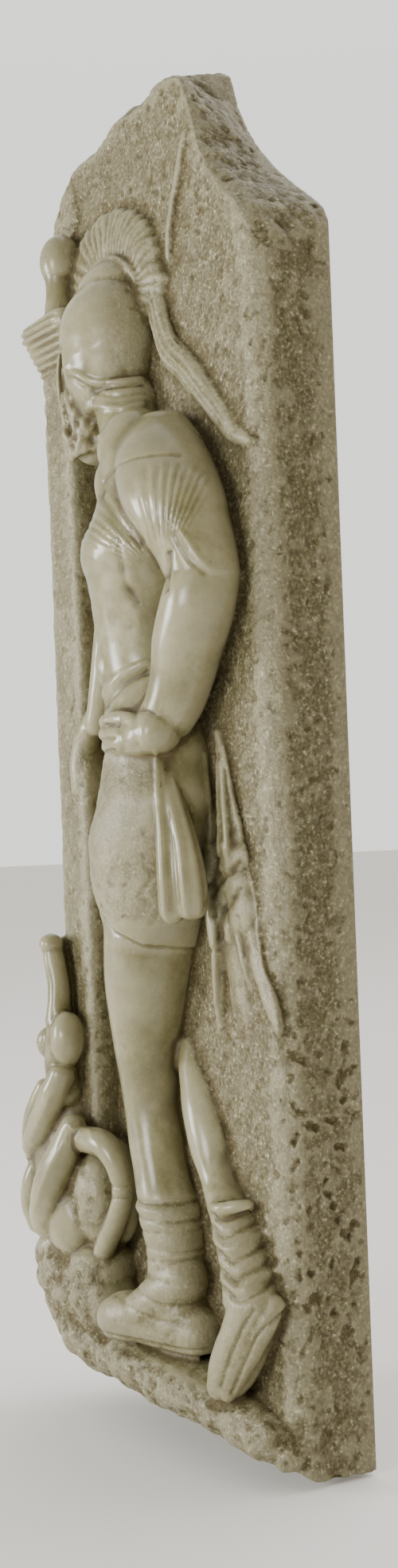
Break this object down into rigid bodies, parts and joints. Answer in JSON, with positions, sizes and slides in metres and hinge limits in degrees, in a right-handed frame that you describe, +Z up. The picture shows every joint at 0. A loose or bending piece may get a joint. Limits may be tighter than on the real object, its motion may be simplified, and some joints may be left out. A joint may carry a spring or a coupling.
{
  "type": "relief wall plaque",
  "caption": "Tall stone wall plaque in high relief: a helmeted, bearded warrior with a fan crest beside a flat pillar, a crouching figure at its foot, with a broken top edge.",
  "frame": {"origin": "middle of the flat back of the slab, where the plaque is fixed to the wall", "axes": "+Z up along the slab's height, -Y out of the wall towards the viewer, +X to the viewer's right; the flat back lies on Y = 0"},
  "size_m": [0.2041, 0.0838, 0.6486],
  "materials": {
    "carved_stone": "polished grey-green stone on the figure, rasped speckled stone on the ground and sides"
  },
  "bodies": {
    "root": {"relief_plaque": "carved_stone"}
  },
  "joints": []
}
